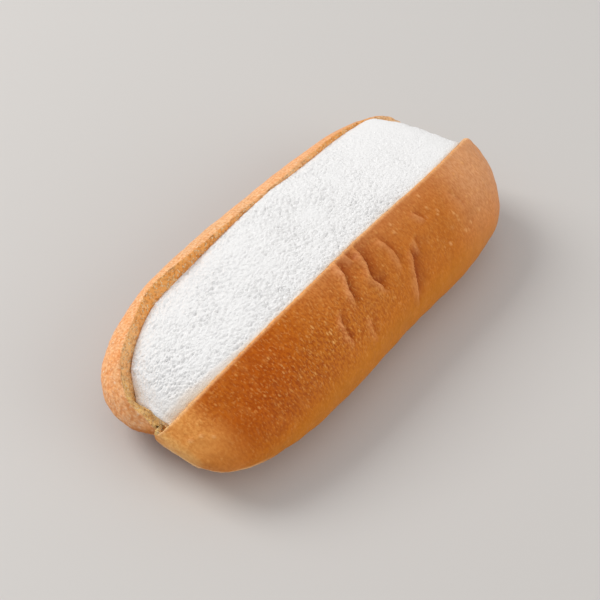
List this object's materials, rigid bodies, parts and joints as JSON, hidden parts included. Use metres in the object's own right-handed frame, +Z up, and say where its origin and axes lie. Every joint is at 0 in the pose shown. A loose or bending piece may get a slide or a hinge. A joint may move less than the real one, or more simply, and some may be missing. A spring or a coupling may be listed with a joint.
{
  "type": "cream-filled soft roll",
  "caption": "Oval soft milk-bread roll, slit along its top, opened and filled with levelled whipped cream, lying on its flat underside.",
  "frame": {"origin": "middle of the roll's underside, on the surface that it lies on", "axes": "+X along the roll from the end where the bread wraps round the cream to the end where the cream shows, +Y across to the half that leans open, +Z up"},
  "size_m": [0.163, 0.0748, 0.0392],
  "materials": {
    "bread_crust": "satin",
    "whipped_cream": "matte"
  },
  "bodies": {
    "root": {"bread": "bread_crust", "cream": "whipped_cream"}
  },
  "joints": []
}
